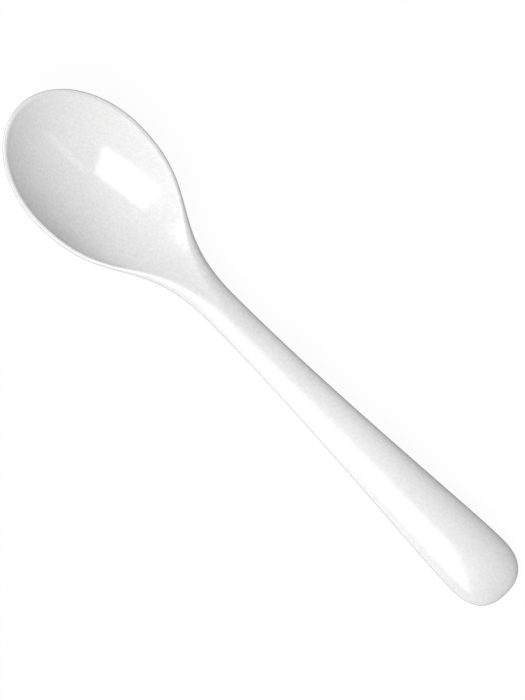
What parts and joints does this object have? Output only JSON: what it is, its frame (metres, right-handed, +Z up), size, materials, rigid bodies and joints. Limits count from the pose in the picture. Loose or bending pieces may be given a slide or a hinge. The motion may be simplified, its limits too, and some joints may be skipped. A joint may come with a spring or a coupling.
{
  "type": "egg spoon",
  "caption": "Small white spoon for boiled eggs: an oval dished bowl that runs through a slim neck into a crowned handle with a broad rounded end.",
  "frame": {"origin": "centre of the bounding box on the surface that the spoon lies on", "axes": "+X from the bowl's tip to the end of the handle, +Z up out of the bowl, the spoon's plane of symmetry at y = 0"},
  "size_m": [0.125, 0.026, 0.0132],
  "materials": {
    "white_plastic": "glossy moulded white"
  },
  "bodies": {
    "root": {"spoon": "white_plastic"}
  },
  "joints": []
}
